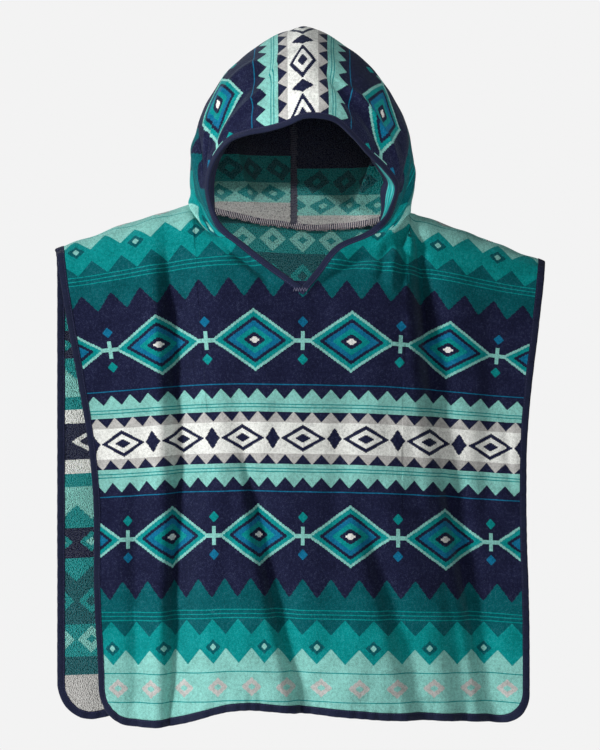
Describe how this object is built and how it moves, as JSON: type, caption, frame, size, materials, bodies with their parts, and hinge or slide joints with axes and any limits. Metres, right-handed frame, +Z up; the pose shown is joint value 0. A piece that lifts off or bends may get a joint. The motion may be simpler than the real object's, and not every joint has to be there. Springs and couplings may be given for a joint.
{
  "type": "hooded towel",
  "caption": "Child's hooded towel poncho: front and back panels open at the sides, a hood with a V-shaped neck slit, and bound edges.",
  "frame": {"origin": "middle of the neck base, level with the tops of the shoulders, where the wearer's shoulders carry the towel", "axes": "+Z up, +X to the right as seen from the front, the front faces -Y"},
  "size_m": [0.6286, 0.2503, 0.8927],
  "materials": {
    "velour_body": "cotton velour outside, terry loops inside, woven bands of navy, teal, mint, grey and off-white",
    "velour_hood": "cotton velour outside, terry loops inside, the same woven bands",
    "twill_binding": "navy cotton twill tape"
  },
  "bodies": {
    "root": {"front_panel": "velour_body", "back_panel": "velour_body", "hood": "velour_hood", "hood_binding": "twill_binding", "front_binding": "twill_binding", "back_binding": "twill_binding"}
  },
  "joints": []
}
